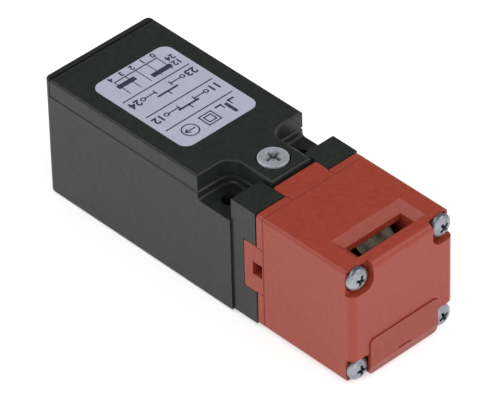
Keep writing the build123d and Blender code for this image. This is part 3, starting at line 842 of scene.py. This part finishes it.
@dataclass
class Coil:
    """Coil springs on one axis that stand for a CAD node's plain tubes."""

    node: str
    bodies: tuple[str, ...]
    turns: float
    wire_radius: float
    along: int = 0
    rising: bool = True
    steps: int = 20
    sides: int = 10

    def spans(self) -> list[Pair]:
        """Find where each spring starts and ends along the axis.

        Returns:
            Lowest and highest place of each spring.
        """
        vertices = frame["nodes"][self.node].data.vertices
        levels = sorted({round(v.co[self.along], 6) for v in vertices})
        return list(zip(levels[0::2], levels[1::2]))

    def build(self, tree: GeometryTree, finishes: Finishes) -> None:
        """Wind the coils inside the CAD node's box.

        Args:
            tree: The coil tree.
            finishes: The switch's finishes.
        """
        low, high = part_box(self.node)
        middle = (low + high) / 2
        across = (self.along + 1) % 3
        radius = (high[across] - low[across]) / 2 - self.wire_radius
        turn = {0: (0.0, math.pi / 2, 0.0), 1: (-math.pi / 2, 0.0, 0.0)}[self.along]
        steel = finishes.of("spring_steel")
        form = bmesh.new()
        for first, last in self.spans():
            start = Vector(middle)
            start[self.along] = first + self.wire_radius
            values = {"Turns": self.turns, "Radius": radius,
                      "Length": last - first - 2 * self.wire_radius, "Wire": self.wire_radius,
                      "Steps": self.steps, "Sides": self.sides, "Start": tuple(start), "Turn": turn}
            coil = tree.run(self.node + "_coil", values, steel)
            form.from_mesh(coil.data)
            discard(coil)
        name = self.node + "_coils"
        piece = mesh_object(name, settled(name, form), steel)
        if len(self.bodies) == 1:
            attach(piece, self.bodies[0])
        else:
            ends = [Vector(middle), Vector(middle)]
            ends[0][self.along], ends[1][self.along] = low[self.along], high[self.along]
            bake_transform(piece)
        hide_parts(self.node)
        LOG.info("wound %s with %.1f turns", self.node, self.turns)


@dataclass
class EntryThread:
    """Thread ridge on the wall of the cable entry."""

    pitch: float = 1.5 * MM
    ridge: float = 0.42 * MM
    sunk_share: float = 0.4
    turns: float = 5.6
    first: float = 1.2 * MM
    steps: int = 72
    sides: int = 6

    def build(self, tree: GeometryTree, finishes: Finishes) -> None:
        """Wind the ridge along the bore's wall.

        Args:
            tree: The coil tree.
            finishes: The switch's finishes.
        """
        mount = next(m for m in frame["record"]["mounts"] if m["name"] == "cable_entry")
        start = Vector(mount["pos_m"])
        start.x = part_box("housing_body")[0].x + self.first
        radius = mount["dims"]["r_mm"] * MM + self.ridge * self.sunk_share
        values = {"Turns": self.turns, "Radius": radius, "Length": self.turns * self.pitch,
                  "Wire": self.ridge, "Steps": self.steps, "Sides": self.sides,
                  "Start": tuple(start), "Turn": (0.0, math.pi / 2, 0.0)}
        piece = tree.run("entry_thread", values, finishes.of("black_plastic"))
        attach(piece, "housing")
        LOG.info("cut the entry's thread with %.1f turns", self.turns)


@dataclass
class SeamBead:
    """Dark strip of painted shade that lies in the groove between the flange and the head."""

    depth: float = 0.02 * MM
    half_width: float = 0.16 * MM
    thickness: float = 0.1 * MM
    corner_radius: float = 0.9 * MM
    corner_steps: int = 6

    def ring(self, inset: float) -> list[Pair]:
        """Give the seam's outline, drawn in by a distance.

        Args:
            inset: Distance from the head's faces.

        Returns:
            Y and Z of each point, once round.
        """
        low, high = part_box("head_housing")
        radius = self.corner_radius - inset
        right, left = high.y - self.corner_radius, low.y + self.corner_radius
        top, bottom = high.z - self.corner_radius, low.z + self.corner_radius
        centres = ((right, top), (left, top), (left, bottom), (right, bottom))
        points = []
        for corner, (y, z) in enumerate(centres):
            for step in range(self.corner_steps + 1):
                angle = math.pi / 2 * (corner + step / self.corner_steps)
                points.append((y + radius * math.cos(angle), z + radius * math.sin(angle)))
        return points

    def build(self, finishes: Finishes) -> None:
        """Lay the strip of painted shade.

        Args:
            finishes: The switch's finishes.
        """
        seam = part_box("head_housing")[0].x
        outer, inner = self.ring(self.depth), self.ring(self.depth + self.thickness)
        narrow = self.half_width - self.thickness
        section = ((outer, -self.half_width), (outer, self.half_width), (inner, narrow),
                   (inner, -narrow))
        form = bmesh.new()
        # The strip's dark red is painted shade, standing in for the shadow at the bottom of the gap.
        skin(form, [[(seam + shift, y, z) for y, z in line] for line, shift in section])
        mesh = settled("seam_bead", form, outward=True)
        piece = mesh_object("seam_bead", mesh, finishes.of("seam"))
        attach(piece, "housing")
        LOG.info("laid the painted seam shade")


@dataclass
class PlatePrint:
    """Generic print of the plate: contact symbols, terminal numbers and a travel chart.

    Places on the plate are in millimetres, across and up from its middle.
    """

    thickness: float = 0.014 * MM
    sunk_share: float = 0.3
    line: float = 0.32 * MM
    rule_end: float = 9.3
    rules: tuple[float, ...] = (7.3, 1.2, -5.9)
    figure_size: float = 2.9 * MM
    figure_weight: float = 0.035
    ring_steps: int = 28
    form: BMesh = field(default_factory=bmesh.new)

    def bar(self, first: Pair, last: Pair, weight: float = 1.0, build_up: float = 1.0) -> None:
        """Draw one straight stroke with square ends.

        Args:
            first: Where it starts.
            last: Where it ends.
            weight: Its width in lines.
            build_up: Share of the ink's full thickness.
        """
        start, end = Vector(first) * MM, Vector(last) * MM
        along = (end - start).normalized() * (self.line * weight) / 2
        side = Vector((-along.y, along.x))
        corners = [start - along - side, end + along - side, end + along + side,
                   start - along + side]
        rings = [[(c.x, c.y, z) for c in corners] for z in (0.0, self.thickness * build_up)]
        bottom, top = skin(self.form, rings, closed=False)
        self.form.faces.new(reversed(bottom))
        self.form.faces.new(top)

    def circle(self, middle: Pair, radius: float) -> None:
        """Draw one thin ring.

        Args:
            middle: Its middle.
            radius: Its radius in millimetres.
        """
        half, centre = self.line / 2, (middle[0] * MM, middle[1] * MM)
        section = ((-half, 0.0), (half, 0.0), (half, self.thickness), (-half, self.thickness))
        skin(self.form, [round_ring(radius * MM + out, up, self.ring_steps, centre)
                         for out, up in section])

    def figures(self, words: str, middle: Pair, scale: float = 1.0) -> None:
        """Print plain figures.

        Args:
            words: The figures.
            middle: Their middle.
            scale: Height as a share of the full figures'.
        """
        size = self.figure_size * scale
        curve = bpy.data.curves.new("figures", "FONT")
        curve.body = words
        curve.size = size
        curve.align_x = "CENTER"
        curve.align_y = "CENTER"
        curve.resolution_u = 3
        curve.offset = size * self.figure_weight
        curve.extrude = self.thickness / 2
        carrier = linked("figures", curve)
        mesh = frozen(carrier)
        discard(carrier)
        mesh.transform(Matrix.Translation((middle[0] * MM, middle[1] * MM, self.thickness / 2)))
        self.form.from_mesh(mesh)

    def contact(self, kind: ContactKind, height: float, numbers: tuple[str, str]) -> None:
        """Draw one contact with its two terminal numbers.

        Args:
            kind: Whether the contact opens or closes.
            height: Height of its line.
            numbers: Terminal numbers at its two ends.
        """
        number, terminal, lead, tip = 7.9, 5.6, 5.0, 2.2
        terminal_radius, tick, bridge_end, stem = 0.5, 0.55, 2.6, 1.2
        bridge = height + kind.value
        for side, words in zip((-1, 1), numbers):
            self.figures(words, (side * number, height))
            self.circle((side * terminal, height), terminal_radius)
            self.bar((side * lead, height), (side * tip, height))
            self.bar((side * tip, height - tick), (side * tip, height + tick))
        self.bar((-bridge_end, bridge), (bridge_end, bridge), 1.7)
        self.bar((0.0, bridge), (0.0, bridge + stem))
        if kind is ContactKind.OPENING:
            for side in (-1, 1):
                self.bar((side * tip, height + tick), (side * tip, bridge))

    def opening_mark(self, middle: Pair) -> None:
        """Draw the arrow in a ring that marks a forced opening.

        Args:
            middle: Its middle.
        """
        x, y = middle
        radius, tail, tip, barb = 1.9, 1.2, 1.3, (0.5, 0.6)
        self.circle(middle, radius)
        self.bar((x - tail, y), (x + tail, y))
        for side in (-1, 1):
            self.bar((x + tip, y), (x + barb[0], y + side * barb[1]))

    def key_mark(self, middle: Pair) -> None:
        """Draw a key that goes into its slot.

        Args:
            middle: Its middle.
        """
        x, y = middle
        outer, inner, low, lip, blade = 2.4, 1.1, y - 1.7, y - 0.4, (y + 1.9, y - 1.0)
        for side in (-1, 1):
            self.bar((x + side * outer, low), (x + side * inner, low), 1.6)
            self.bar((x + side * inner, low), (x + side * inner, lip))
        self.bar((x, blade[0]), (x, blade[1]), 2.6)

    def double_square(self, middle: Pair) -> None:
        """Draw the two squares that mark double insulation.

        Args:
            middle: Their middle.
        """
        for half in (1.7, 0.95):
            corners = [(middle[0] + i * half, middle[1] + j * half)
                       for i, j in ((-1, -1), (1, -1), (1, 1), (-1, 1))]
            for first, last in zip(corners, corners[1:] + corners[:1]):
                self.bar(first, last)

    def travel_chart(self, height: float) -> None:
        """Draw the two contacts' travel bars over a scale.

        Args:
            height: Height of the scale.
        """
        steps, wide, tall, number_drop, name_place = 4, 12.0, 5.0, 1.3, -8.1
        for i in range(steps + 1):
            x = -wide / 2 + wide * i / steps
            self.bar((x, height), (x, height + tall), weight=0.7, build_up=0.7)
            self.figures(str(i), (x, height - number_drop), 0.72)
        self.bar((-wide / 2, height), (wide / 2, height))
        for words, level, ends in (("12", 3.9, (-wide / 2, -wide * 0.15)),
                                   ("24", 1.8, (wide * 0.2, wide / 2))):
            self.bar((ends[0], height + level), (ends[1], height + level), 4.2)
            self.figures(words, (name_place, height + level), 0.78)

    def build(self, finishes: Finishes) -> None:
        """Print the plate, as one thin mesh on it.

        Args:
            finishes: The switch's finishes.
        """
        low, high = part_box("label_plate")
        for level in self.rules:
            self.bar((-self.rule_end, level), (self.rule_end, level))
        self.opening_mark((5.6, 10.6))
        self.double_square((0.0, 10.6))
        self.key_mark((-5.6, 10.6))
        self.contact(ContactKind.OPENING, 3.4, ("11", "12"))
        self.contact(ContactKind.CLOSING, -3.8, ("23", "24"))
        self.travel_chart(-12.2)
        mesh = settled("plate_print", self.form, outward=True)
        middle, level = (low + high) / 2, high.z - self.thickness * self.sunk_share
        mesh.transform(Matrix(((0, 1, 0, middle.x), (-1, 0, 0, middle.y), (0, 0, 1, level),
                               (0, 0, 0, 1))))
        piece = mesh_object("plate_print", mesh, finishes.of("ink"))
        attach(piece, "cover")
        LOG.info("printed the plate")


@dataclass
class Studio:
    """Pale floor, soft lamps and the camera."""

    azimuth: float = 47.27
    elevation: float = 39.21
    roll: float = -1.5
    distance: float = 1047 * MM
    shift_right: float = 0.38 * MM
    shift_up: float = -0.66 * MM
    target: Point = (-4.6 * MM, 0.0, 15 * MM)
    focal_pixels: float = 5039.0
    image_width: int = 500
    sensor: float = 36.0
    view_reach: float = 20.0
    floor_size: float = 6.0
    floor_gap: float = 0.05 * MM
    floor_colour: Colour = (0.86, 0.86, 0.86, 1.0)
    floor_glow: float = 0.5
    world_light: float = 0.45
    backdrop_top: Pair = (0.05, 0.4)
    ceiling: float = 0.1
    lamp_size: float = 0.8
    lamps: tuple[tuple[str, Point, float], ...] = (
        ("side_fill", (0.35, -1.2, 0.5), 3.6), ("end_fill", (1.2, -0.3, 0.5), 3.2),
        ("left_above", (-0.74, -0.58, 0.91), 4.2), ("right_above", (0.78, 0.58, 0.85), 4.6))

    def axes(self) -> tuple[Vector, Vector, Vector]:
        """Work out the camera's right, up and backward directions.

        Returns:
            The three unit vectors.
        """
        az, el, roll = (math.radians(v) for v in (self.azimuth, self.elevation, self.roll))
        back = Vector((math.sin(az) * math.cos(el), -math.cos(az) * math.cos(el), math.sin(el)))
        right = Vector((0, 0, 1)).cross(back).normalized()
        up = back.cross(right)
        turned_right = math.cos(roll) * right + math.sin(roll) * up
        turned_up = -math.sin(roll) * right + math.cos(roll) * up
        return turned_right, turned_up, back

    def camera(self) -> None:
        """Place the camera as the photograph's was."""
        right, up, back = self.axes()
        data = bpy.data.cameras.new("camera")
        data.sensor_width = self.sensor
        data.lens = self.focal_pixels * self.sensor / self.image_width
        data.clip_end = self.view_reach
        rig = linked("camera", data)
        rig.matrix_world = Matrix((right, up, back)).transposed().to_4x4()
        rig.matrix_world.translation = (Vector(self.target) + back * self.distance
                                        - right * self.shift_right - up * self.shift_up)
        bpy.context.scene.camera = rig

    def lamp(self, name: str, place: Point, power: float) -> None:
        """Hang one square lamp that faces the switch.

        Args:
            name: Name of the lamp.
            place: Where it hangs, in metres.
            power: Watts.
        """
        data = bpy.data.lights.new(name, "AREA")
        data.shape = "SQUARE"
        data.size = self.lamp_size
        data.energy = power
        item = linked(name, data)
        item.location = place
        aim = Vector(self.target) - Vector(place)
        item.rotation_euler = aim.to_track_quat("-Z", "Y").to_euler()

    def floor(self) -> None:
        """Lay the white floor, which glows a little where it is seen or mirrored."""
        form = bmesh.new()
        bmesh.ops.create_grid(form, x_segments=1, y_segments=1, size=self.floor_size)
        bmesh.ops.translate(form, verts=form.verts, vec=(0.0, 0.0, -self.floor_gap))
        graph = ShaderGraph("floor_white")
        graph.feed(graph.surface, {"Base Color": self.floor_colour, "Roughness": 0.9,
                                   "Specular IOR Level": 0.1})
        rays = graph.node("ShaderNodeLightPath").outputs
        seen = graph.step("MAXIMUM", rays["Is Camera Ray"], rays["Is Glossy Ray"])
        seen = graph.step("MAXIMUM", seen, rays["Is Transmission Ray"])
        strength = graph.ramp(seen, (0.0, self.floor_glow), (0.0, 1.0))
        glow = graph.node("ShaderNodeEmission", {"Color": WHITE, "Strength": strength})
        both = graph.node("ShaderNodeAddShader", {
            0: graph.surface.outputs["BSDF"], 1: glow.outputs["Emission"]})
        graph.feed(graph.tree.nodes["Material Output"], {"Surface": both.outputs["Shader"]})
        mesh_object("floor", settled("floor", form), graph.material)

    def world(self) -> None:
        """Make the surroundings white to the eye and softer as a light."""
        world = bpy.data.worlds.new("studio")
        bpy.context.scene.world = world
        world.use_nodes = True
        graph = NodeBuilder(world.node_tree)
        generated = graph.node("ShaderNodeTexCoord").outputs["Generated"]
        height = graph.node("ShaderNodeSeparateXYZ", {"Vector": generated}).outputs["Z"]
        backdrop = graph.ramp(height, (1.0, self.ceiling), self.backdrop_top)
        rays = graph.node("ShaderNodeLightPath").outputs
        mirrored = graph.step("MAXIMUM", rays["Is Glossy Ray"], rays["Is Transmission Ray"])
        shown = graph.step("MULTIPLY", mirrored, backdrop)
        seen = graph.step("MAXIMUM", rays["Is Camera Ray"], shown)
        spread = graph.step("MULTIPLY", rays["Is Diffuse Ray"], self.world_light)
        graph.feed(graph.tree.nodes["Background"], {
            "Color": WHITE, "Strength": graph.step("MAXIMUM", seen, spread)})

    def build(self) -> None:
        """Set up the whole studio."""
        self.camera()
        self.floor()
        self.world()
        for name, place, power in self.lamps:
            self.lamp(name, place, power)
        bpy.context.scene.view_settings.view_transform = "Standard"


@dataclass
class SwitchDetails:
    """Fine pieces of the switch: screws, springs, the entry's thread, the painted seam shade and
    print.
    """

    finishes: Finishes

    def screws(self) -> None:
        """Set every group of screws."""
        tree = screw_tree()
        # The shade strengths set how dark the painted shade in each screw recess is.
        groups = (
            ScrewSet("head_screws", "housing", "zinc_steel", 2.65 * MM, 2.0 * MM, 1.5 * MM,
                     SurfaceAxis.FRONT, DriveKind.CROSS, seed=7, soil=0.65, reach=0.5, dull=True,
                     collar=0.62 * MM),
            ScrewSet("cover_screw", "cover", "zinc_steel", 3.35 * MM, 1.7 * MM, 1.35 * MM,
                     SurfaceAxis.TOP, DriveKind.CROSS_WITH_TICKS, seed=3, turn=0.05, spread=0.0,
                     rim_share=0.8, soil=0.8, reach=0.64),
            ScrewSet("terminal_screws", "housing", "zinc_steel", 2.8 * MM, 2.2 * MM, 1.5 * MM,
                     SurfaceAxis.TOP, DriveKind.CROSS, seed=5),
        )
        for group in groups:
            group.build(tree, self.finishes)

    def coils(self) -> None:
        """Wind the springs and the thread."""
        tree = coil_tree()
        wound = (
            Coil("return_spring", ("housing", "carriage"), 9.0, 0.25 * MM),
            Coil("latch_spring_near", ("housing", "latch_near"), 8.0, 0.15 * MM, along=1),
            Coil("latch_spring_far", ("housing", "latch_far"), 8.0, 0.15 * MM, along=1,
                 rising=False),
            Coil("bridge_springs", ("carriage",), 4.5, 0.15 * MM),
            EntryThread(),
        )
        for item in wound:
            item.build(tree, self.finishes)

    def build(self) -> None:
        """Make all the fine pieces."""
        self.screws()
        self.coils()
        SeamBead().build(self.finishes)
        PlatePrint().build(self.finishes)


def main() -> None:
    """Dress the frame, add the fine pieces and set up the studio."""
    logging.basicConfig(level=logging.INFO, format="%(message)s")
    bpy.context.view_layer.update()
    finishes = Finishes()
    finishes.dress_frame()
    SwitchDetails(finishes).build()
    Studio().build()
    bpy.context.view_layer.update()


if __name__ == "__main__":
    main()
